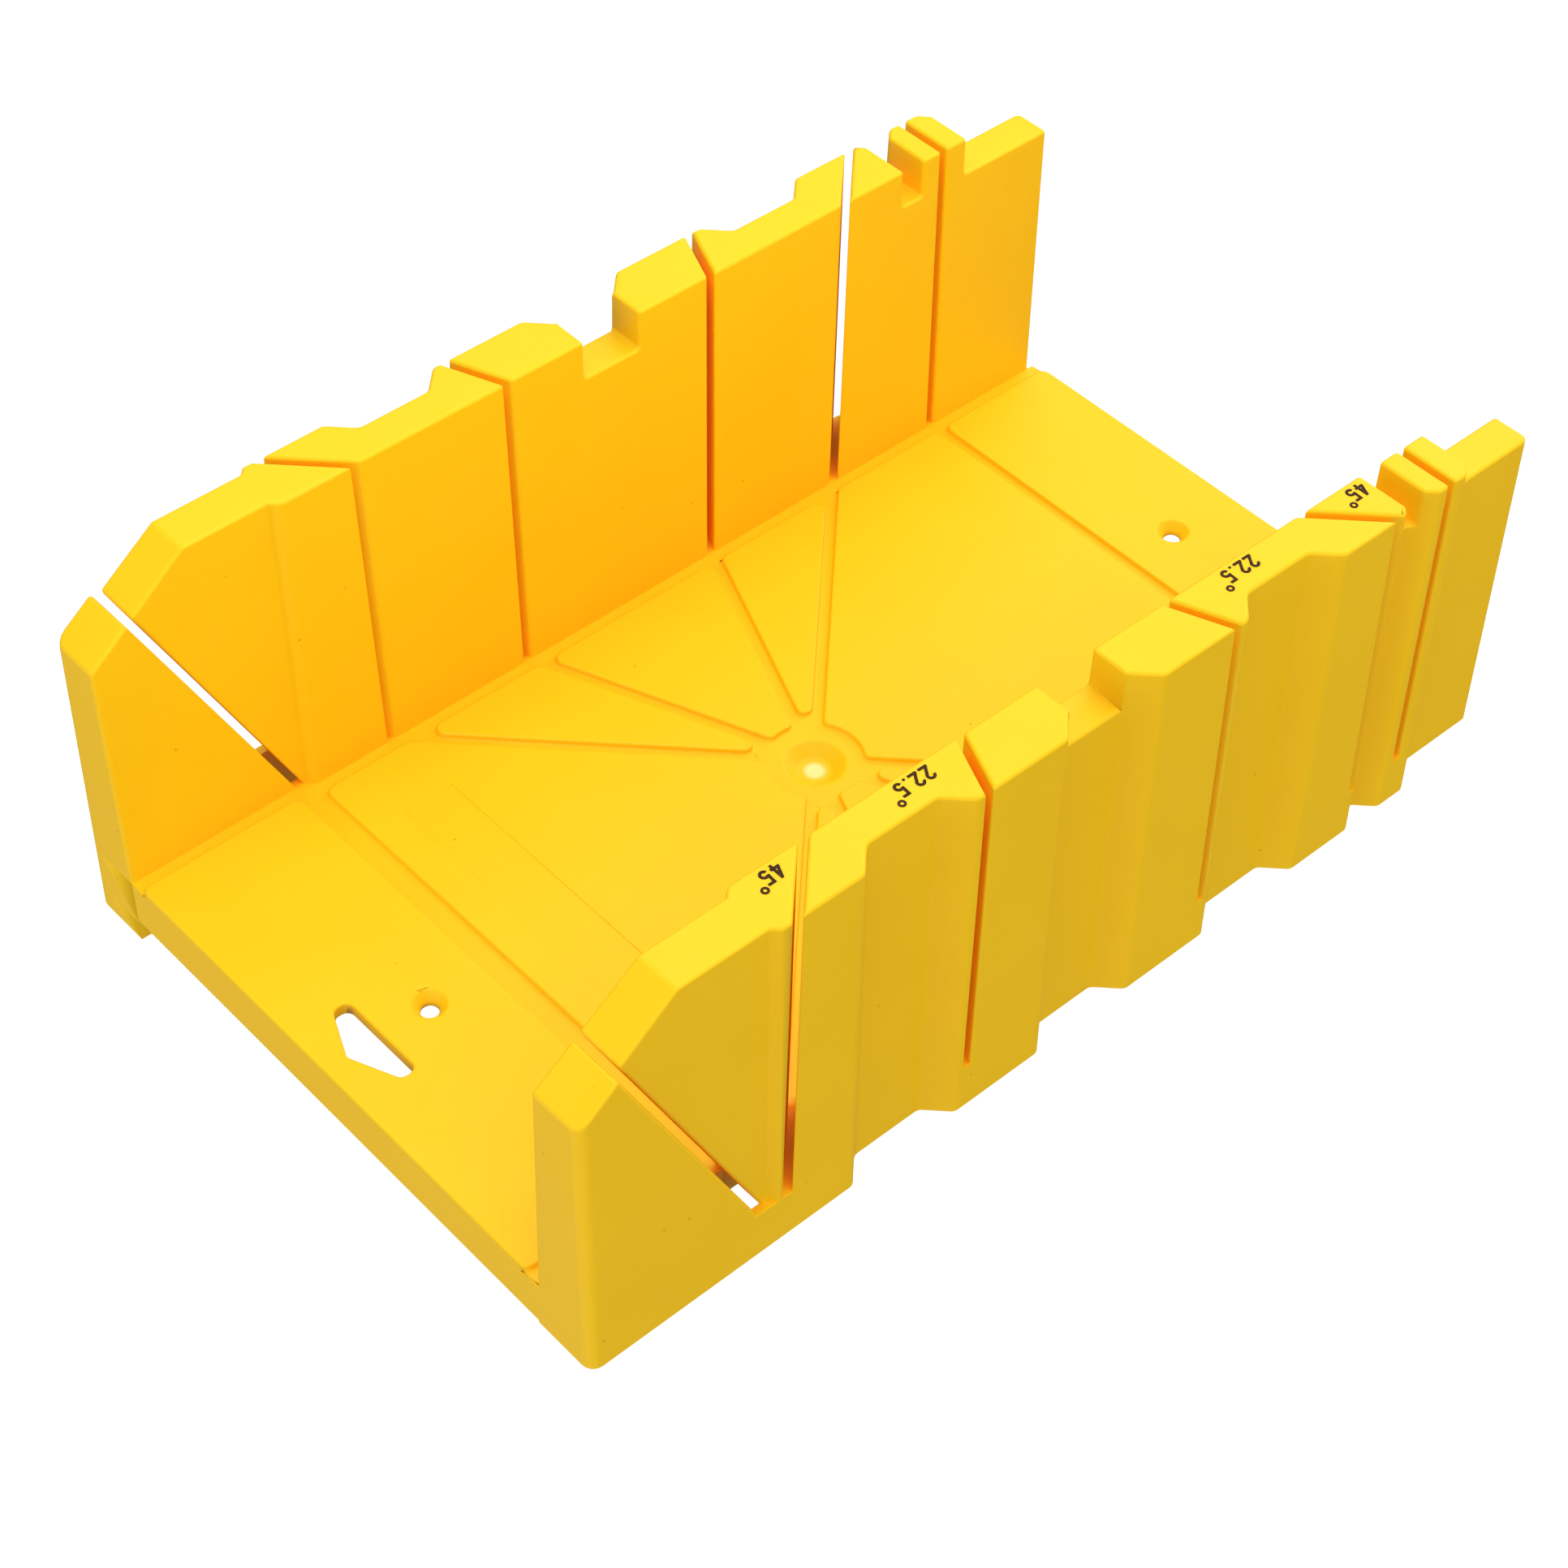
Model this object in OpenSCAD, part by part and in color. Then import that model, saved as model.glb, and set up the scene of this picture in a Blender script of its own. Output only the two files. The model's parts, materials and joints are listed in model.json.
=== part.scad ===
// Moulded plastic mitre box: a raised floor between two slotted, corrugated
// fence walls, with guide slots at 45, 22.5 and 90 degrees in plan and one
// tilted slot for a bevel cut. Millimetres, +Z up, X along the work.
// Origin: centre of the footprint, at the underside of the bench lip.

/* [Overall] */
// Length of the floor from end to end
box_len = 300; // [290:1:310]
// Height of the fence walls above the underside of the bench lip
box_h = 109.8; // [106:0.1:116]
// Height of the gutters of the floor above the underside of the lip
floor_z = 20; // [18:0.5:22]
// Height of the foot of the walls and end skirts, where a bench top sits
foot_z = 6.2; // [5:0.1:9]
// How far the walls stop short of the right-hand end of the floor
wall_end_gap = 2; // [1:0.5:3]

/* [Fences] */
// Half the gap between the fences, at their top
fence_y = 76; // [72:0.5:78]
// Extra half gap to the left of the step in each fence
fence_step = 2.1; // [1:0.1:3]
// Position of the step in each fence
fence_step_x = -98; // [-99:0.5:-97]
// Draft angle of the fence faces
fence_draft = 1.21; // [1:0.01:1.5]

/* [Outer wall profile] */
// Outer face of the thick stretches, at the top
thick_y = 92; // [91:0.5:94]
// Outer face of the thin stretches, at the top
thin_y = 86; // [85:0.5:87]
// Outer face of the block beside the bevel slot, at the top
wedge_y = 90.2; // [89:0.1:91]
// Draft angle of the outer faces
outer_draft = 1.07; // [0.8:0.01:1.3]
// Half the length of the thin stretch behind the hub, with its folds
hub_fold_x = 14.8; // [14:0.1:16]
// Where the thin stretch by the narrow slots starts, on both sides of the hub
thin_near_x = 41.5; // [40:0.1:43]
// Where that thin stretch ends
thin_far_x = 73.5; // [72:0.1:75]
// Middle of the groove below the notch by the square slot
groove_x = 100.1; // [99.5:0.1:100.5]
// Half the width of the mouth of that groove
groove_mouth = 5.9; // [5.5:0.1:6.2]
// Half the width of the floor of that groove
groove_floor = 1.1; // [1:0.1:1.4]
// Where the last thick stretch ends, beside the square slot
end_fold_x = 115.3; // [115:0.1:116]
// Where the first thick stretch steps down beside the bevel slot
wedge_x = -96.1; // [-97:0.1:-95]
// Radius of the corners of the corrugation
fold_r = 2.6; // [1.5:0.1:2.8]
// Radius of the corners of the groove's floor
groove_r = 1.6; // [1:0.1:2]
// Radius of the corners of that small step
step_r = 1.4; // [0.8:0.1:1.6]
// Radius of the upright corner at the right-hand end
right_r = 2; // [1:0.1:3]
// Radius of the upright corner at the left-hand end
end_r = 3.2; // [2:0.1:6]
// Thickness of the hollow walls
skin = 2.5; // [2:0.1:3]
// Thickness of the ribs on both sides of each slot
rib = 2; // [1.5:0.1:2.5]

/* [Wall tops] */
// Where the sloping end of the walls starts
crest_x = -122.3; // [-126:0.1:-118]
// Slope of the sloping end, from the horizontal
end_slope = 38; // [34:0.5:42]
// Depth of the notches and of the lowered right-hand end
low_drop = 11; // [8:0.5:13]
// Half the width of the notch over the hub
hub_notch = 8.6; // [7:0.1:9]
// Left side of the notch next to the square slot
side_notch_x = 96.2; // [95:0.1:97]
// Width of the notch next to the square slot
side_notch_w = 7; // [6:0.1:7.5]
// Left side of the lowered right-hand end
low_end_x = 118.3; // [117:0.1:119]

/* [Slots] */
// Width of the saw slots
slot_w = 2.1; // [1.6:0.1:2.4]
// Wide angle of the mitre slots, from a square cut
mitre_wide = 45; // [44:0.5:46]
// Narrow angle of the mitre slots, from a square cut
mitre_narrow = 22.5; // [22:0.5:23]
// Position of the square slot
square_x = 110.3; // [109:0.1:111]
// Position of the bevel slot at the level of the gutters
bevel_x = -100.8; // [-101.5:0.1:-100.5]
// Tilt of the bevel slot from the upright
bevel_tilt = 26; // [24:0.5:28]

/* [Floor] */
// Thickness of the floor under the gutters
floor_t = 2; // [1.8:0.1:2.5]
// Height of the raised panels above the gutters
panel_h = 1.5; // [1:0.1:2]
// Half the width of the raised panels
panel_y = 70.2; // [68:0.1:71]
// Radius of the corners of the panels
panel_r = 2.4; // [1.5:0.1:3]
// Half the width of the channels between the panels
channel_half = 1.5; // [1.2:0.1:2]
// Half the width of the channel under the bevel slot
bevel_channel_half = 3.1; // [2.5:0.1:3.5]
// Radius of the recess round the hub
recess_r = 12.5; // [11:0.1:14]
// Radius of the corners between that recess and the channels
recess_corner_r = 1.6; // [1:0.1:2]
// Middle of the label area, along the box
label_x = -80.4; // [-84:0.1:-78]
// Middle of the label area, across the box
label_y = 14.5; // [-20:0.5:20]
// Length of the label area
label_len = 74; // [60:1:78]
// Width of the label area
label_w = 14.6; // [10:0.1:16]
// Depth of the label area
label_d = 0.25; // [0.2:0.05:0.4]

/* [Hub and holes] */
// Diameter of the mouth of the hub dimple
dimple_d = 15.6; // [14:0.1:17]
// Diameter of the floor of the hub dimple
dimple_floor_d = 8.6; // [7:0.1:10]
// Depth of the hub dimple below the gutters
dimple_depth = 3; // [2:0.1:3.5]
// Diameter of the screw holes
screw_d = 4.5; // [4:0.1:5]
// Diameter of the countersinks
sink_d = 8.7; // [8:0.1:9.5]
// Depth of the countersinks
sink_depth = 2.6; // [2:0.1:2.9]
// Position of the left-hand screw hole
screw_left_x = -120; // [-124:0.5:-116]
// Position of the right-hand screw hole
screw_right_x = 128.3; // [124:0.1:134]
// Straight side of the hanging hole, towards the hub
hang_x = -133.6; // [-134:0.1:-132]
// Width of the hanging hole along its two ends
hang_end_w = 4.3; // [4:0.1:5]
// Width of the hanging hole at its widest, in the middle
hang_w = 10; // [8:0.1:11]
// Length of the hanging hole, across the box
hang_len = 26; // [22:0.1:30]
// Middle of the hanging hole, across the box
hang_y = -0.1; // [-2:0.1:2]
// Radius of the corners of the hanging hole
hang_r = 2.1; // [1.5:0.1:2.1]

/* [Marks] */
// Height of the figures
fig_h = 4.3; // [3.8:0.1:4.6]
// Width of a figure
fig_w = 2.4; // [2.2:0.1:2.6]
// Width of the strokes
stroke = 0.7; // [0.5:0.05:0.75]
// Thickness of the ink
ink_t = 0.12; // [0.1:0.01:0.2]
// Where the left-hand 45 degree mark starts
wide_left_x = -85.2; // [-87:0.1:-84]
// Where the left-hand 22.5 degree mark starts
narrow_left_x = -43.1; // [-45:0.1:-42]
// Where the right-hand 22.5 degree mark starts
narrow_right_x = 56.8; // [54:0.1:58]
// Where the right-hand 45 degree mark starts
wide_right_x = 94; // [93:0.1:95]
// Line that the figures stand on
mark_y = -77.6; // [-78.5:0.1:-77]

/* [Hidden] */
$fn = 96;
half_len = box_len / 2;
wall_right = half_len - wall_end_gap;
// half gap between the fences where they meet the floor
fence_foot = fence_y - (box_h - floor_z) * tan(fence_draft);
// how far cutting shapes reach past what they cut
past = 10;
// tall enough for the leaning blocks to reach past the trimming planes
reach = box_h + 2 * past;
// plan lines x = slope * y + start of the slots, in order from the left
slot_slope = [0, -tan(mitre_wide), -tan(mitre_narrow), tan(mitre_narrow), tan(mitre_wide), 0];
slot_start = [bevel_x, 0, 0, 0, 0, square_x];
// half width of each slot, measured along X
slot_half = [for (k = slot_slope) slot_w / 2 * sqrt(1 + k * k)];
// plan band that holds one wall
band = [60, 110];
end_rise = (crest_x + half_len) * tan(end_slope);
panel_z = floor_z + panel_h;
floor_under = floor_z - floor_t;
// web that closes the foot of each slot
web_t = 2;
// plastic round the hub dimple
dimple_wall = 2;
// rounding of the points of the wedge-shaped panels
tip_r = 2;
// straight pieces that make up each rounded corner
arc_steps = 4;
// printed figures: spacing, decimal point, degree ring, and sink into the wall
fig_step = fig_w + 0.6;
point_w = 1.6;
point_r = 0.35;
ring_r = 0.72;
ring_gap = 0.8;
ink_sink = 0.02;
yellow = [0.97, 0.76, 0.07];
ink = [0.06, 0.05, 0.05];

// ---- plan outlines ----

function unit(v) = v / norm(v);
function swing(a) = a > 180 ? a - 360 : (a < -180 ? a + 360 : a);

// points of the arc that rounds the corner p between the neighbours a and b
function fillet(a, p, b, r) =
  let (u = unit(a - p), v = unit(b - p), half = acos(u * v) / 2)
  let (c = p + unit(u + v) * r / sin(half))
  let (s = p + u * r / tan(half) - c, e = p + v * r / tan(half) - c)
  let (from = atan2(s.y, s.x), turn = swing(atan2(e.y, e.x) - from))
  [for (i = [0:arc_steps]) c + r * [cos(from + turn * i / arc_steps), sin(from + turn * i / arc_steps)]];

// outline with corners [x, y, r], each rounded by its own radius
function rounded(c) =
  let (n = len(c), p = [for (q = c) [q.x, q.y]])
  [for (i = [0:n - 1])
    each (c[i][2] > 0 ? fillet(p[(i + n - 1) % n], p[i], p[(i + 1) % n], c[i][2]) : [p[i]])];

// outer face of the rear wall from right to left, closed well inside the fence;
// left_y is its half width left of the step
module outer_outline(left_y) {
  fold = thick_y - thin_y;
  step = thick_y - left_y;
  groove_y = thick_y - groove_mouth + groove_floor;
  polygon(rounded([
    [-half_len, band[0], 0],
    [wall_right, band[0], 0],
    [wall_right, thin_y, right_r],
    [end_fold_x + fold, thin_y, fold_r],
    [end_fold_x, thick_y, fold_r],
    [groove_x + groove_mouth, thick_y, fold_r],
    [groove_x + groove_floor, groove_y, groove_r],
    [groove_x - groove_floor, groove_y, groove_r],
    [groove_x - groove_mouth, thick_y, fold_r],
    [thin_far_x, thick_y, fold_r],
    [thin_far_x - fold, thin_y, fold_r],
    [thin_near_x + fold, thin_y, fold_r],
    [thin_near_x, thick_y, fold_r],
    [hub_fold_x, thick_y, fold_r],
    [hub_fold_x - fold, thin_y, fold_r],
    [-hub_fold_x + fold, thin_y, fold_r],
    [-hub_fold_x, thick_y, fold_r],
    [-thin_near_x, thick_y, fold_r],
    [-thin_near_x - fold, thin_y, fold_r],
    [-thin_far_x + fold, thin_y, fold_r],
    [-thin_far_x, thick_y, fold_r],
    if (step > 0) [wedge_x, thick_y, step_r],
    if (step > 0) [wedge_x - step, left_y, step_r],
    [-half_len, left_y, end_r]
  ]));
}

// everything on the work's side of the fence face, whose half gap is y
module fence_outline(y) {
  half_step = fence_step / 2;
  far = half_len + past;
  polygon([
    [-far, 0],
    [far, 0],
    [far, y],
    [fence_step_x + half_step, y],
    [fence_step_x - half_step, y + fence_step],
    [-far, y + fence_step]
  ]);
}

// leans a tall extrusion about the top of the wall by an angle
module leaning(angle) {
  translate([0, 0, box_h])
    rotate([angle, 0, 0])
      translate([0, 0, -reach])
        linear_extrude(reach + past)
          children();
}

// ---- wall body ----

// solid between the fence face and the outer face, both drawn in by t
module wall_stock(t, left_y = wedge_y) {
  difference() {
    leaning(outer_draft)
      translate([0, -t])
        outer_outline(left_y);
    leaning(-fence_draft)
      translate([0, t])
        fence_outline(fence_y);
  }
}

// side view of the wall above the gutters, drawn in by t
module wall_side(t) {
  top = box_h - t;
  low = box_h - low_drop - t;
  notch_far = side_notch_x + side_notch_w;
  translate([0, band[1], 0])
    rotate([90, 0, 0])
      linear_extrude(band[1] - band[0])
        polygon([
          [-half_len, floor_z],
          [-half_len, top - end_rise],
          [crest_x, top],
          [-hub_notch - t, top],
          [-hub_notch - t, low],
          [hub_notch + t, low],
          [hub_notch + t, top],
          [side_notch_x - t, top],
          [side_notch_x - t, low],
          [notch_far + t, low],
          [notch_far + t, top],
          [low_end_x - t, top],
          [low_end_x - t, low],
          [wall_right, low],
          [wall_right, floor_z]
        ]);
}

// plan strip between slots a and a + 1, drawn in by t on both sides
module strip(a, t) {
  b = a + 1;
  from = slot_start[a] + slot_half[a] + t;
  to = slot_start[b] - slot_half[b] - t;
  linear_extrude(reach)
    polygon([
      [slot_slope[a] * band[0] + from, band[0]],
      [slot_slope[b] * band[0] + to, band[0]],
      [slot_slope[b] * band[1] + to, band[1]],
      [slot_slope[a] * band[1] + from, band[1]]
    ]);
}

// side view of one side of the bevel slot: side is -1 left, 1 right
module bevel_side(side, t) {
  far = side * half_len;
  edge = side * (slot_w / 2 / cos(bevel_tilt) + t);
  rise = reach - floor_z;
  translate([bevel_x, band[1], floor_z])
    rotate([90, 0, 0])
      linear_extrude(band[1] - band[0])
        polygon([
          [edge, 0],
          [edge - rise * tan(bevel_tilt), rise],
          [far, rise],
          [far, -1],
          [edge + tan(bevel_tilt), -1]
        ]);
}

// one hollow block between two mitre slots
module block(a) {
  difference() {
    intersection() {
      wall_stock(0);
      wall_side(0);
      strip(a, 0);
    }
    intersection() {
      wall_stock(skin);
      wall_side(skin);
      strip(a, rib);
    }
  }
}

// block between the bevel slot and the first mitre slot
module bevel_block() {
  to = -slot_half[1];
  module left_of_mitre(t) {
    linear_extrude(reach)
      polygon([
        [-half_len, band[0]],
        [slot_slope[1] * band[0] + to - t, band[0]],
        [slot_slope[1] * band[1] + to - t, band[1]],
        [-half_len, band[1]]
      ]);
  }
  difference() {
    intersection() {
      wall_stock(0);
      wall_side(0);
      bevel_side(1, 0);
      left_of_mitre(0);
    }
    intersection() {
      wall_stock(skin);
      wall_side(skin);
      bevel_side(1, rib);
      left_of_mitre(rib);
    }
  }
}

// wedge at the left-hand end, outside the bevel slot
module end_wedge() {
  difference() {
    intersection() {
      wall_stock(0, thick_y);
      wall_side(0);
      bevel_side(-1, 0);
    }
    intersection() {
      wall_stock(skin, thick_y);
      wall_side(skin);
      bevel_side(-1, rib);
      translate([-half_len + skin, band[0], 0])
        cube([half_len, band[1] - band[0], reach]);
    }
  }
}

// lowered block at the right-hand end, outside the square slot
module end_block() {
  start = square_x + slot_half[5];
  difference() {
    intersection() {
      wall_stock(0);
      wall_side(0);
      translate([start, band[0], 0])
        cube([half_len, band[1] - band[0], reach]);
    }
    intersection() {
      wall_stock(skin);
      wall_side(skin);
      translate([start + rib, band[0], 0])
        cube([wall_right - skin - start - rib, band[1] - band[0], reach]);
    }
  }
}

// outline of the foot of a wall, drawn in by t
module foot_stock(t, low, high) {
  intersection() {
    difference() {
      leaning(outer_draft)
        translate([0, -t])
          outer_outline(thick_y);
      translate([0, 0, low - 1])
        linear_extrude(high - low + 2)
          fence_outline(fence_foot + t);
    }
    translate([-half_len + t, band[0], low])
      cube([half_len + wall_right - 2 * t, band[1] - band[0], high - low]);
  }
}

// web that closes the foot of a slot, between the two skins
module slot_web(a) {
  side = slot_half[a] + rib;
  intersection() {
    foot_stock(skin / 2, floor_z - web_t, floor_z);
    translate([0, 0, floor_z - web_t])
      linear_extrude(web_t)
        polygon([
          [slot_slope[a] * band[0] + slot_start[a] - side, band[0]],
          [slot_slope[a] * band[0] + slot_start[a] + side, band[0]],
          [slot_slope[a] * band[1] + slot_start[a] + side, band[1]],
          [slot_slope[a] * band[1] + slot_start[a] - side, band[1]]
        ]);
  }
}

// band of the wall between the foot and the level of the gutters
module sill() {
  difference() {
    foot_stock(0, foot_z, floor_z);
    foot_stock(skin, foot_z - 0.5, floor_z + 0.5);
  }
  for (a = [1:5])
    slot_web(a);
}

// ---- floor ----

// rounded panel between two rays from the hub, ending at the line y = edge
module narrow_panel(from, to, edge) {
  tip = channel_half / sin((to - from) / 2);
  mid = (from + to) / 2;
  polygon(rounded([
    [tip * cos(mid), tip * sin(mid), tip_r],
    [edge / tan(from) - channel_half / sin(from), edge, panel_r],
    [edge / tan(to) + channel_half / sin(to), edge, panel_r]
  ]));
}

// points along the edge of the hub recess between two rays, further apart than
// the rounding of the two end corners reaches
function recess_arc(from, to) =
  let (lead = asin(channel_half / recess_r), sweep = to - from - 2 * lead)
  let (n = floor(recess_r * sweep * PI / 180 / (recess_corner_r * 1.3)))
  [for (i = [0:n])
    let (a = from + lead + sweep * i / n)
    [recess_r * cos(a), recess_r * sin(a), (i == 0 || i == n) ? recess_corner_r : 0]];

// panel behind the hub, between the two narrow mitre channels
module centre_panel() {
  from = 90 - mitre_narrow;
  reach_x = panel_y * tan(mitre_narrow) - channel_half / cos(mitre_narrow);
  polygon(rounded(concat(
    recess_arc(from, 180 - from),
    [[-reach_x, panel_y, panel_r], [reach_x, panel_y, panel_r]]
  )));
}

// panel beside the hub, out to the line x = edge, between the wide channels
module side_panel(edge) {
  near = panel_y + channel_half * sqrt(2);
  polygon(rounded(concat(
    recess_arc(-45, 45),
    [
      [near, panel_y, panel_r],
      [edge, panel_y, panel_r],
      [edge, -panel_y, panel_r],
      [near, -panel_y, panel_r]
    ]
  )));
}

// panel between x = from and x = to
module end_panel(from, to, half_y) {
  polygon(rounded([
    [from, -half_y, panel_r],
    [to, -half_y, panel_r],
    [to, half_y, panel_r],
    [from, half_y, panel_r]
  ]));
}

// five-sided hole to hang the box on a hook, widest in its middle
module hang_hole() {
  top = hang_y + hang_len / 2;
  bottom = hang_y - hang_len / 2;
  polygon(rounded([
    [hang_x, top, hang_r],
    [hang_x - hang_end_w, top, hang_r],
    [hang_x - hang_w, hang_y, hang_r],
    [hang_x - hang_end_w, bottom, hang_r],
    [hang_x, bottom, hang_r]
  ]));
}

module panels() {
  side_panel(square_x - channel_half);
  mirror([1, 0])
    side_panel(-bevel_x - bevel_channel_half);
  end_panel(square_x + channel_half, half_len, panel_y);
  end_panel(-half_len, bevel_x - bevel_channel_half, panel_y + fence_step);
  for (flip = [0, 1])
    mirror([0, flip]) {
      centre_panel();
      narrow_panel(90 - mitre_wide, 90 - mitre_narrow, panel_y);
      narrow_panel(90 + mitre_narrow, 90 + mitre_wide, panel_y);
    }
}

module screw_hole() {
  translate([0, 0, floor_under - 1])
    cylinder(d = screw_d, h = floor_t + panel_h + 2);
  translate([0, 0, panel_z - sink_depth])
    cylinder(d1 = screw_d, d2 = sink_d + 0.2, h = sink_depth + 0.1);
}

module floor_stock() {
  translate([0, 0, floor_under])
    linear_extrude(floor_t)
      intersection() {
        union() {
          fence_outline(fence_foot);
          mirror([0, 1])
            fence_outline(fence_foot);
        }
        square([box_len, 2 * band[1]], center = true);
      }
}

module floor_plate() {
  difference() {
    union() {
      floor_stock();
      translate([0, 0, floor_z])
        linear_extrude(panel_h)
          panels();
      translate([0, 0, floor_z - dimple_depth - floor_t])
        cylinder(d = dimple_d + 2 * dimple_wall, h = dimple_depth + floor_t);
    }
    translate([0, 0, floor_z - dimple_depth])
      cylinder(d1 = dimple_floor_d, d2 = dimple_d, h = dimple_depth);
    translate([0, 0, floor_under - 1])
      linear_extrude(floor_t + panel_h + 2)
        hang_hole();
    translate([screw_left_x, 0, 0])
      screw_hole();
    translate([screw_right_x, 0, 0])
      screw_hole();
    translate([label_x - label_w / 2, label_y - label_len / 2, panel_z - label_d])
      cube([label_w, label_len, label_d + 1]);
  }
}

// end skirt from x = from, skin thick, between the two sills
module skirt(from, half_y) {
  translate([from, -half_y, foot_z])
    cube([skin, 2 * half_y, floor_under - foot_z]);
}

// ---- printed figures ----

// straight stroke from p to q
module line(p, q) {
  d = q - p;
  translate(p)
    rotate(atan2(d.y, d.x))
      translate([0, -stroke / 2])
        square([norm(d), stroke]);
}

// curved stroke round c, from angle a through sweep
module bow(c, r, a, sweep) {
  far = 2 * r + 2;
  steps = 6;
  translate(c)
    intersection() {
      difference() {
        circle(r = r + stroke / 2);
        circle(r = r - stroke / 2);
      }
      polygon(concat(
        [[0, 0]],
        [for (i = [0:steps]) far * [cos(a + sweep * i / steps), sin(a + sweep * i / steps)]]
      ));
    }
}

module figure_2() {
  r = fig_w / 2 - stroke / 2;
  top = fig_h - stroke / 2 - r;
  foot = stroke / 2;
  tail = -35;
  bow([fig_w / 2, top], r, tail, 180 - tail);
  line([fig_w / 2 + r * cos(tail), top + r * sin(tail) + stroke / 6], [foot, foot]);
  line([0, foot], [fig_w, foot]);
}

module figure_4() {
  stem = fig_w * 0.68;
  bar = fig_h * 0.27;
  line([stem, 0], [stem, fig_h]);
  line([0, bar], [fig_w, bar]);
  line([stroke / 2, bar], [stem, fig_h - stroke / 3]);
}

module figure_5() {
  r = fig_w / 2 - stroke / 2;
  low = r + stroke / 2;
  tail = -160;
  bow([fig_w / 2, low], r, tail, 140 - tail);
  line([stroke * 0.75, low + r * 0.45], [stroke * 0.95, fig_h]);
  line([stroke / 2, fig_h - stroke / 2], [fig_w - stroke / 6, fig_h - stroke / 2]);
}

module degree_ring() {
  difference() {
    circle(r = ring_r + stroke * 0.4);
    circle(r = ring_r - stroke * 0.4);
  }
}

// lays figures on the top of the front wall, read from behind the box
module print_at(x, y) {
  translate([x, y, box_h - ink_sink])
    rotate(180)
      linear_extrude(ink_t + ink_sink)
        children();
}

module angle_wide(x, y) {
  print_at(x, y) {
    figure_4();
    translate([fig_step, 0])
      figure_5();
    translate([2 * fig_step + ring_gap, fig_h + ring_gap / 3])
      degree_ring();
  }
}

module angle_narrow(x, y) {
  last = 2 * fig_step + point_w;
  print_at(x, y) {
    figure_2();
    translate([fig_step, 0])
      figure_2();
    translate([2 * fig_step + point_w / 3, point_r])
      circle(r = point_r);
    translate([last, 0])
      figure_5();
    translate([last + fig_step + ring_gap, fig_h + ring_gap])
      degree_ring();
  }
}

// ---- nodes ----

module floor_node() {
  color(yellow)
    floor_plate();
}

module skirt_left() {
  color(yellow)
    skirt(-half_len, fence_foot + fence_step);
}

module skirt_right() {
  color(yellow)
    skirt(half_len - skin, fence_foot);
}

module sill_rear() {
  color(yellow)
    sill();
}

module sill_front() {
  color(yellow)
    mirror([0, 1, 0])
      sill();
}

module bench_lip() {
  color(yellow)
    difference() {
      foot_stock(0, 0, foot_z);
      foot_stock(skin, -0.5, foot_z + 0.5);
    }
}

module rear(part) {
  color(yellow) {
    if (part == 0) end_wedge();
    if (part == 1) bevel_block();
    if (part > 1 && part < 6) block(part - 1);
    if (part == 6) end_block();
  }
}

module front(part) {
  mirror([0, 1, 0])
    rear(part);
}

module mark_45_left() {
  color(ink)
    angle_wide(wide_left_x, mark_y);
}

module mark_22_left() {
  color(ink)
    angle_narrow(narrow_left_x, mark_y);
}

module mark_22_right() {
  color(ink)
    angle_narrow(narrow_right_x, mark_y);
}

module mark_45_right() {
  color(ink)
    angle_wide(wide_right_x, mark_y);
}

floor_node();  // floor
skirt_left();
skirt_right();
sill_rear();
sill_front();
bench_lip();
rear(0);  // rear_end_left
rear(1);  // rear_bevel
rear(2);  // rear_mitre_left
rear(3);  // rear_centre
rear(4);  // rear_mitre_right
rear(5);  // rear_square
rear(6);  // rear_end_right
front(0);  // front_end_left
front(1);  // front_bevel
front(2);  // front_mitre_left
front(3);  // front_centre
front(4);  // front_mitre_right
front(5);  // front_square
front(6);  // front_end_right
mark_45_left();
mark_22_left();
mark_22_right();
mark_45_right();
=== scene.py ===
"""Looks of the mitre box: one yellow moulding, built as rounded pieces over the
packed regions, with four printed angles, on a pale floor."""

import json
import math

import bmesh
import bpy
from mathutils import Matrix, Vector
from mathutils.bvhtree import BVHTree


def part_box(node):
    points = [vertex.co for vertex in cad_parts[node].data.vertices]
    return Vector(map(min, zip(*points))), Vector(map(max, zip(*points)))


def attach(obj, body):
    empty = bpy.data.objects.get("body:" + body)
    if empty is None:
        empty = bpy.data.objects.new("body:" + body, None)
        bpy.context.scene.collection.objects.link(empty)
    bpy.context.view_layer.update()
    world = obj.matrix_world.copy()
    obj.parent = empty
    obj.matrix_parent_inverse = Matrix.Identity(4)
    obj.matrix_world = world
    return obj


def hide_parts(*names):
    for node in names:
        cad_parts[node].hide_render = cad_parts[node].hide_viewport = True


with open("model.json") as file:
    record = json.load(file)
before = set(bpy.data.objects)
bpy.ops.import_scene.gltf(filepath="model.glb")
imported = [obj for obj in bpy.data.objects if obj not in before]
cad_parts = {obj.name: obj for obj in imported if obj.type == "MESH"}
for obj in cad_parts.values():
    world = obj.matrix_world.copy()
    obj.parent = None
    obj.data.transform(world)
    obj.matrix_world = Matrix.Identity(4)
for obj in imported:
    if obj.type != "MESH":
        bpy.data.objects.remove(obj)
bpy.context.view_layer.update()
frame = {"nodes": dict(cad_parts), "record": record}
NODES = frame["nodes"]
SLOT = {s["node"]: s["material_slot"] for s in frame["record"]["subparts"]}
MM = 0.001

# Heights and edges that the stage and the camera hang on.
sill_lo, sill_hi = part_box("sill_rear")
lip_lo, lip_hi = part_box("bench_lip")
front_lo, front_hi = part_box("sill_front")
GUTTER_Z = sill_hi.z  # where the saw slots end
FOOT_Z = sill_lo.z  # foot of the walls; the lip reaches lower

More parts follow.
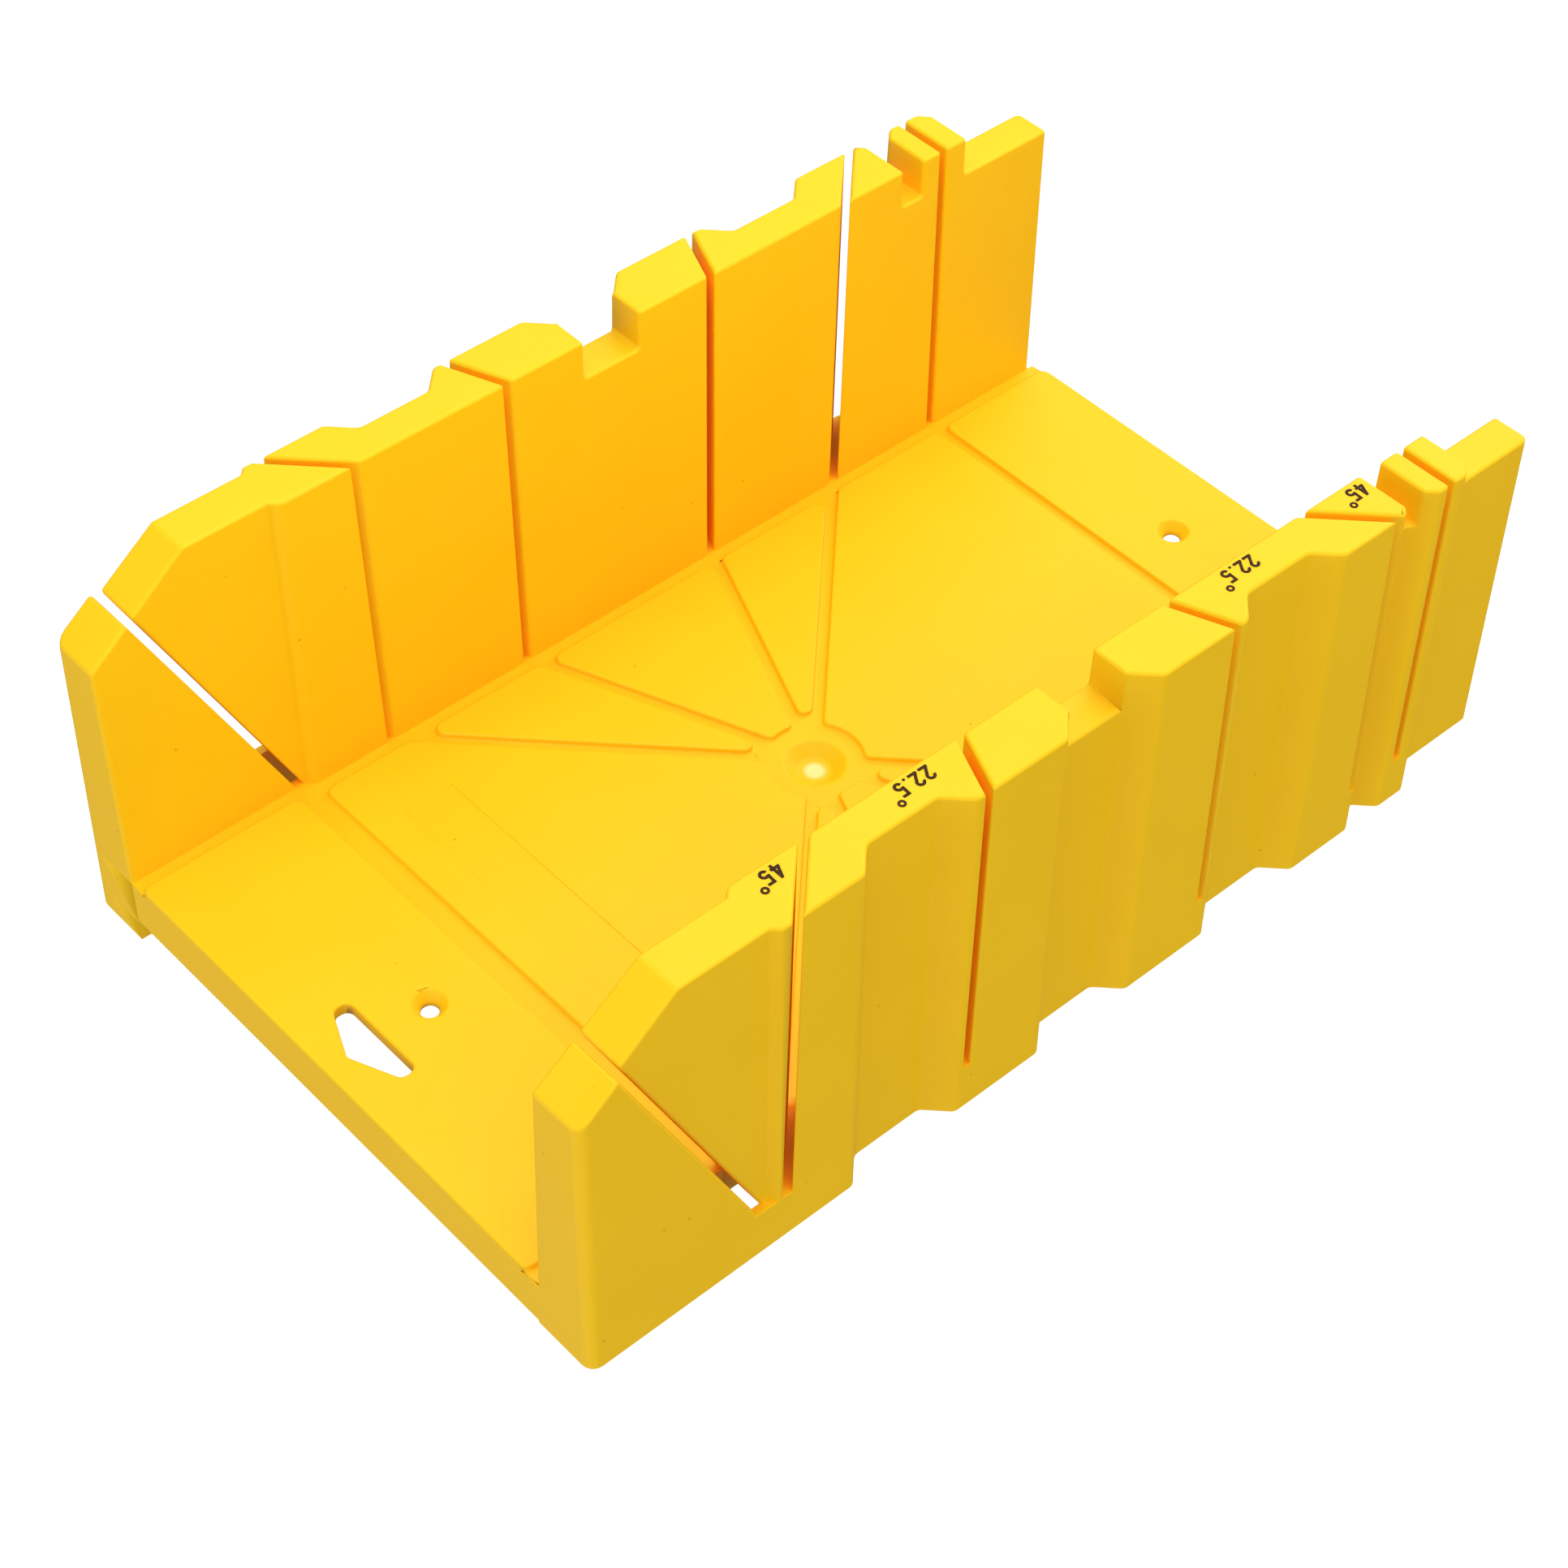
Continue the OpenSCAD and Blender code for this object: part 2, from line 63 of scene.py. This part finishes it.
# Linear base colours. The two plastic tones are the flow marks' extremes.
PLASTIC_LOW = (0.850, 0.512, 0.004)
PLASTIC_HIGH = (0.870, 0.528, 0.006)
SPECK_BROWN = (0.45, 0.20, 0.01)
# Painted light: the paler patch at the bottom of the hub's dimple.
DIMPLE_PAINTED_PALE = (0.95, 0.74, 0.29)
# Painted glow: orange for the saw slots, standing in for light through the thin
# plastic.
SLOT_GLOW_PAINTED = (0.998, 0.53, 0.008)
INK_THICK = (0.020, 0.008, 0.001)
INK_THIN = (0.075, 0.030, 0.003)
PAPER_DARK = (0.09, 0.09, 0.09)
PAPER_LIGHT = (0.10, 0.10, 0.10)

# Reach of the search for saw slots, which get a painted glow, and the size of the pale
# patch painted in the dimple.
SLOT_REACH = 25 * MM
SPOT_INNER = 1.8 * MM
SPOT_OUTER = 3.2 * MM

# Rounding of the outer edges.
EDGE_ROUND = 0.9 * MM
FLOOR_ROUND = 0.6 * MM
ROUND_SHARE = 0.4  # at most this share of the face beside the edge
ROUND_STEPS = 3
BEND = math.radians(32)  # flatter folds stay as they are
CREASE = math.radians(36)  # sharper folds are shaded as edges
TIP_ANGLE = math.radians(60)
TIP = 1.0 * MM  # a face's side shorter than this is a tip


# ---------------------------------------------------------------- materials


def new_material(name):
    """A material with one Principled shader, and the tree it lives in."""
    mat = bpy.data.materials.new(name)
    mat.use_nodes = True
    tree = mat.node_tree
    tree.nodes.clear()
    out = tree.nodes.new("ShaderNodeOutputMaterial")
    bsdf = tree.nodes.new("ShaderNodeBsdfPrincipled")
    tree.links.new(bsdf.outputs["BSDF"], out.inputs["Surface"])
    return mat, tree, bsdf


def noise(tree, coords, scale, detail=3.0, rough=0.5):
    """Fractal noise; scale is in cells per metre."""
    node = tree.nodes.new("ShaderNodeTexNoise")
    node.inputs["Scale"].default_value = scale
    node.inputs["Detail"].default_value = detail
    node.inputs["Roughness"].default_value = rough
    tree.links.new(coords, node.inputs["Vector"])
    return node.outputs["Fac"]


def ramp(tree, value, stops):
    """A colour for each value, by (position, colour) stops."""
    node = tree.nodes.new("ShaderNodeValToRGB")
    while len(node.color_ramp.elements) < len(stops):
        node.color_ramp.elements.new(0.5)
    for element, (pos, colour) in zip(node.color_ramp.elements, stops):
        element.position = pos
        element.color = (*colour, 1.0)
    tree.links.new(value, node.inputs["Fac"])
    return node.outputs["Color"]


def span(tree, value, low, high, to_low, to_high):
    """Low to high mapped on to_low to to_high, and held beyond them."""
    node = tree.nodes.new("ShaderNodeMapRange")
    for key, number in zip(
        ("From Min", "From Max", "To Min", "To Max"), (low, high, to_low, to_high)
    ):
        node.inputs[key].default_value = number
    tree.links.new(value, node.inputs["Value"])
    return node.outputs["Result"]


def bump(tree, height, strength, distance, normal=None):
    """A bumped normal, on top of another one if given."""
    node = tree.nodes.new("ShaderNodeBump")
    node.inputs["Strength"].default_value = strength
    node.inputs["Distance"].default_value = distance
    tree.links.new(height, node.inputs["Height"])
    if normal is not None:
        tree.links.new(normal, node.inputs["Normal"])
    return node.outputs["Normal"]


def blend(tree, factor, first, second):
    """The first colour at factor 0, the second, a constant, at factor 1."""
    node = tree.nodes.new("ShaderNodeMix")
    node.data_type = "RGBA"
    tree.links.new(factor, node.inputs["Factor"])
    tree.links.new(first, node.inputs[6])
    node.inputs[7].default_value = (*second, 1.0)
    return node.outputs[2]


def painted_glow_in_gaps(tree, reach):
    """Mask for the painted glow: one deep inside the saw slots, nought on open faces.
    """
    node = tree.nodes.new("ShaderNodeAmbientOcclusion")
    node.samples = 8
    node.inputs["Distance"].default_value = reach
    return span(tree, node.outputs["AO"], 0.22, 0.5, 1.0, 0.0)


def specks(tree, coords):
    """Sparse dark specks in the plastic, well under a millimetre across."""
    node = tree.nodes.new("ShaderNodeTexVoronoi")
    node.inputs["Scale"].default_value = 80.0
    tree.links.new(coords, node.inputs["Vector"])
    return span(tree, node.outputs["Distance"], 0.016, 0.034, 0.7, 0.0)


def painted_pale_patch(tree, coords):
    """Painted light: a paler round patch at the bottom of the dimple in the hub."""
    scaled = tree.nodes.new("ShaderNodeVectorMath")
    scaled.operation = "MULTIPLY"
    scaled.inputs[1].default_value = (1.0, 1.0, 0.0)
    tree.links.new(coords, scaled.inputs[0])
    length = tree.nodes.new("ShaderNodeVectorMath")
    length.operation = "LENGTH"
    tree.links.new(scaled.outputs["Vector"], length.inputs[0])
    return span(tree, length.outputs["Value"], SPOT_INNER, SPOT_OUTER, 1.0, 0.0)


def yellow_plastic():
    """Satin yellow ABS with faint flow marks and a fine moulded grain.

    The slots are lighter than the faces, which stands in for the light that
    comes through the thin plastic beside them.
    """
    mat, tree, bsdf = new_material("yellow_abs")
    coords = tree.nodes.new("ShaderNodeTexCoord").outputs["Object"]
    flow = noise(tree, coords, 28.0, 4.0)
    colour = ramp(tree, flow, [(0.3, PLASTIC_LOW), (0.7, PLASTIC_HIGH)])
    colour = blend(tree, specks(tree, coords), colour, SPECK_BROWN)
    # Painted light: a paler round patch around the middle of the box, at the bottom of
    # the hub's dimple.
    colour = blend(tree, painted_pale_patch(tree, coords), colour, DIMPLE_PAINTED_PALE)
    # Painted glow: orange blended in where the ambient occlusion finds the saw slots.
    colour = blend(tree, painted_glow_in_gaps(tree, SLOT_REACH), colour, SLOT_GLOW_PAINTED)
    tree.links.new(colour, bsdf.inputs["Base Color"])
    patches = noise(tree, coords, 60.0, 3.0)
    tree.links.new(
        span(tree, patches, 0.3, 0.7, 0.44, 0.52), bsdf.inputs["Roughness"]
    )
    grain = bump(tree, noise(tree, coords, 2600.0, 2.0), 0.10, 0.08 * MM)
    waves = bump(tree, noise(tree, coords, 35.0, 2.0), 0.15, 0.4 * MM, grain)
    tree.links.new(waves, bsdf.inputs["Normal"])
    bsdf.inputs["IOR"].default_value = 1.49
    bsdf.inputs["Specular IOR Level"].default_value = 0.2
    return mat


def printed_ink():
    """Matt black pad print, thin and brown where the ink missed the plastic."""
    mat, tree, bsdf = new_material("black_ink")
    coords = tree.nodes.new("ShaderNodeTexCoord").outputs["Object"]
    cover = noise(tree, coords, 1800.0, 3.0)
    colour = ramp(tree, cover, [(0.35, INK_THICK), (0.75, INK_THIN)])
    tree.links.new(colour, bsdf.inputs["Base Color"])
    patches = noise(tree, coords, 900.0)
    tree.links.new(
        span(tree, patches, 0.3, 0.7, 0.55, 0.7), bsdf.inputs["Roughness"]
    )
    bsdf.inputs["IOR"].default_value = 1.45
    bsdf.inputs["Specular IOR Level"].default_value = 0.15
    return mat


def paper():
    """Pale studio floor, which shows white to the camera."""
    mat, tree, bsdf = new_material("paper")
    coords = tree.nodes.new("ShaderNodeTexCoord").outputs["Object"]
    clouds = noise(tree, coords, 6.0)
    colour = ramp(tree, clouds, [(0.3, PAPER_DARK), (0.7, PAPER_LIGHT)])
    tree.links.new(colour, bsdf.inputs["Base Color"])
    bsdf.inputs["Roughness"].default_value = 0.9
    bsdf.inputs["Specular IOR Level"].default_value = 0.1
    bsdf.inputs["Emission Color"].default_value = (1, 1, 1, 1)
    bsdf.inputs["Emission Strength"].default_value = 1.0
    return mat


MATERIALS = {"yellow_abs": yellow_plastic(), "black_ink": printed_ink()}


# ------------------------------------------------------------------- pieces

REGIONS = [n for n in NODES if not n.startswith("mark_")]
PLAIN = ("sill_rear", "sill_front", "bench_lip")  # drawn without rounding
BOXES = {name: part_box(name) for name in REGIONS}
TREES = {}
for name in REGIONS:
    shell = bmesh.new()
    shell.from_mesh(NODES[name].data)
    TREES[name] = BVHTree.FromBMesh(shell, epsilon=1e-7)
    shell.free()
# A direction that no face or edge of the box lies along.
UPISH = Vector((0.123, 0.217, 0.969)).normalized()
MOST_WALLS = 60
HAIR = 1e-6


def inside(point, node):
    """Whether a point is within a region, by counting the walls above it."""
    lo, hi = BOXES[node]
    if any(point[i] < lo[i] or point[i] > hi[i] for i in range(3)):
        return False
    count, start = 0, point.copy()
    while count < MOST_WALLS:
        hit, _, _, _ = TREES[node].ray_cast(start, UPISH)
        if hit is None:
            break
        count += 1
        start = hit + UPISH * HAIR
    return count % 2 == 1


def is_contact(edge, face, node):
    """Whether the face next to this edge lies against another region."""
    middle = (edge.verts[0].co + edge.verts[1].co) / 2
    along = (edge.verts[1].co - edge.verts[0].co).normalized()
    inward = face.normal.cross(along)
    centre = face.calc_center_median()
    if inward.dot(centre - middle) < 0:
        inward = -inward
    probe = middle + inward * 0.15 * MM + face.normal * 0.05 * MM
    return any(inside(probe, other) for other in REGIONS if other != node)


def room(edge, face):
    """How far the face reaches from the edge."""
    start = edge.verts[0].co
    along = (edge.verts[1].co - start).normalized()
    return max(
        ((v.co - start) - along * (v.co - start).dot(along)).length for v in face.verts
    )


def ends_in_a_point(edge):
    """Whether an upright edge runs into the tip of a narrowing face."""
    run = edge.verts[1].co - edge.verts[0].co
    if abs(run.z) < 0.99 * run.length:
        return False
    for face in edge.link_faces:
        for loop in face.loops:
            if loop.vert not in edge.verts:
                continue
            sides = (loop.edge, loop.link_loop_prev.edge)
            if loop.calc_angle() < TIP_ANGLE:
                return True
            if any(side.calc_length() < TIP for side in sides if side != edge):
                return True
    return False


def stays_sharp(edge, node):
    """Whether this edge is a seam, a fold or a place with no room to round."""
    if node in PLAIN or len(edge.link_faces) != 2:
        return True
    if edge.calc_face_angle(0.0) < BEND:
        return True
    faces_down = any(face.normal.z < -0.9 for face in edge.link_faces)
    if faces_down and not node.startswith("skirt"):
        return True
    if any(is_contact(edge, face, node) for face in edge.link_faces):
        return True
    return ends_in_a_point(edge)


def joined_mesh(node):
    """The region's mesh with its triangles joined to whole flat faces."""
    bm = bmesh.new()
    bm.from_mesh(NODES[node].data)
    bmesh.ops.remove_doubles(bm, verts=bm.verts, dist=HAIR)
    if node not in PLAIN:
        bmesh.ops.dissolve_limit(
            bm, angle_limit=math.radians(0.3), verts=bm.verts, edges=bm.edges
        )
        bm.normal_update()
        ringed = [f for f in bm.faces if f.normal.z < -0.99]
        bmesh.ops.connect_verts_concave(bm, faces=ringed)
    bm.normal_update()
    return bm


def rounded_copy(node, width):
    """A copy of a region with its outer edges rounded and its seams left sharp."""
    bm = joined_mesh(node)
    weight = bm.edges.layers.float.new("bevel_weight_edge")
    for edge in bm.edges:
        if not stays_sharp(edge, node):
            reach = min(room(edge, face) for face in edge.link_faces)
            edge[weight] = min(1.0, ROUND_SHARE * reach / width)
    mesh = bpy.data.meshes.new(node + "_skin")
    bm.to_mesh(mesh)
    bm.free()
    piece = bpy.data.objects.new(node + "_moulding", mesh)
    bpy.context.scene.collection.objects.link(piece)
    bevel = piece.modifiers.new("rounding", "BEVEL")
    bevel.limit_method = "WEIGHT"
    bevel.width = width
    bevel.segments = ROUND_STEPS
    bevel.use_clamp_overlap = False
    bevel.miter_outer = "MITER_ARC"
    # The rounding is made final first, because it would lose the creases.
    solved = piece.evaluated_get(bpy.context.evaluated_depsgraph_get())
    piece.data = bpy.data.meshes.new_from_object(solved)
    piece.modifiers.clear()
    for face in piece.data.polygons:
        face.use_smooth = True
    piece.data.set_sharp_from_angle(angle=CREASE)
    normals = piece.modifiers.new("even_shading", "WEIGHTED_NORMAL")
    normals.keep_sharp = True
    normals.weight = 100
    piece.data.materials.clear()
    piece.data.materials.append(MATERIALS[SLOT[node]])
    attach(piece, "root")
    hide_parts(node)


for name in NODES:
    if name in REGIONS:
        rounded_copy(name, FLOOR_ROUND if name == "floor" else EDGE_ROUND)
    else:
        NODES[name].data.materials.clear()
        NODES[name].data.materials.append(MATERIALS["black_ink"])


# -------------------------------------------------------------------- stage

# The box rests on its lip and on the foot of the front wall, so the ground
# under it leans by the angle between those two. Only the camera sees it.
lean = math.atan2(FOOT_Z - lip_lo.z, lip_lo.y - front_lo.y)
GROUND_SIZE = 6.0
GROUND_GAP = 0.2 * MM

bpy.ops.mesh.primitive_plane_add(size=GROUND_SIZE, location=(0, 0, 0))
ground = bpy.context.object
ground.name = "ground"
ground.rotation_euler = (-lean, 0, 0)
ground.location = (0, 0, lip_lo.y * math.tan(lean) - GROUND_GAP)
ground.data.materials.append(paper())
ground.visible_diffuse = False
ground.visible_glossy = False
ground.visible_shadow = False

AIM = Vector((0, 0, 0.05))


def soft_light(name, place, size, power):
    """A white rectangle of light, in watts, that faces the middle of the box."""
    data = bpy.data.lights.new(name, "AREA")
    data.shape = "RECTANGLE"
    data.size, data.size_y = size
    data.energy = power
    lamp = bpy.data.objects.new(name, data)
    lamp.location = place
    lamp.rotation_mode = "QUATERNION"
    lamp.rotation_quaternion = (AIM - Vector(place)).to_track_quat("-Z", "Y")
    bpy.context.scene.collection.objects.link(lamp)


soft_light("above", (0, 0, 0.9), (1.0, 0.6), 4.1)
soft_light("above_back", (0.1, 0.6, 0.9), (1.0, 0.8), 1.23)
soft_light("above_front", (0, -0.6, 0.9), (1.0, 0.8), 1.25)
soft_light("right", (1.0, 0.1, 0.6), (0.8, 0.8), 4.8)
soft_light("back_right", (0.75, 0.8, 1.2), (0.8, 0.8), 2.9)
soft_light("left_low", (-0.9, 0, 0.25), (0.6, 0.4), 1.9)


def studio_world(above, from_front, below, from_left, from_under):
    """White above, more so to the front; light from the left and from straight
    below stands in for the pale table under the box."""
    world = bpy.data.worlds.new("studio")
    world.use_nodes = True
    tree = world.node_tree
    back = tree.nodes["Background"]
    coords = tree.nodes.new("ShaderNodeTexCoord").outputs["Generated"]
    axes = tree.nodes.new("ShaderNodeSeparateXYZ")
    tree.links.new(coords, axes.inputs["Vector"])
    front = span(tree, axes.outputs["Y"], 0.0, -1.0, above, above + from_front)
    left = span(tree, axes.outputs["X"], 0.0, -1.0, below, below + from_left)
    high = span(tree, axes.outputs["Z"], -0.02, 0.02, 0.0, 1.0)
    mix = tree.nodes.new("ShaderNodeMix")
    tree.links.new(high, mix.inputs[0])
    tree.links.new(left, mix.inputs[2])
    tree.links.new(front, mix.inputs[3])
    under = span(tree, axes.outputs["Z"], -0.86, -0.97, 0.0, from_under)
    total = tree.nodes.new("ShaderNodeMath")
    tree.links.new(mix.outputs[0], total.inputs[0])
    tree.links.new(under, total.inputs[1])
    tree.links.new(total.outputs["Value"], back.inputs["Strength"])
    back.inputs["Color"].default_value = (1, 1, 1, 1)
    return world


bpy.context.scene.world = studio_world(
    above=0.365, from_front=1.22, below=0.20, from_left=0.62, from_under=0.6
)
bpy.context.scene.view_settings.view_transform = "Standard"
bpy.context.scene.cycles.diffuse_bounces = 10


# ------------------------------------------------------------------- camera

# The photograph's own view, found from the slots that cross at the hub.
EYE = Vector((-0.3918, -0.4045, 0.5845 + GUTTER_Z))
AZIMUTH = math.radians(46.84)
ELEVATION = math.radians(-47.09)
ROLL = math.radians(1.753)
SENSOR = 36.0  # millimetres
LENS = 75.3764  # millimetres
SHIFT_RIGHT = 0.004917  # in widths of the picture
SHIFT_UP = 0.022774
NEAR, FAR = 0.05, 20.0

cam_data = bpy.data.cameras.new("camera")
cam = bpy.data.objects.new("camera", cam_data)
bpy.context.scene.collection.objects.link(cam)
ahead = Vector(
    (
        math.cos(AZIMUTH) * math.cos(ELEVATION),
        math.sin(AZIMUTH) * math.cos(ELEVATION),
        math.sin(ELEVATION),
    )
)
cam.location = EYE
cam.rotation_mode = "QUATERNION"
level = ahead.to_track_quat("-Z", "Y")
cam.rotation_quaternion = level @ Matrix.Rotation(ROLL, 3, "Z").to_quaternion()
cam_data.sensor_width = SENSOR
cam_data.lens = LENS
cam_data.shift_x = SHIFT_RIGHT
cam_data.shift_y = SHIFT_UP
cam_data.clip_start, cam_data.clip_end = NEAR, FAR
bpy.context.scene.camera = cam
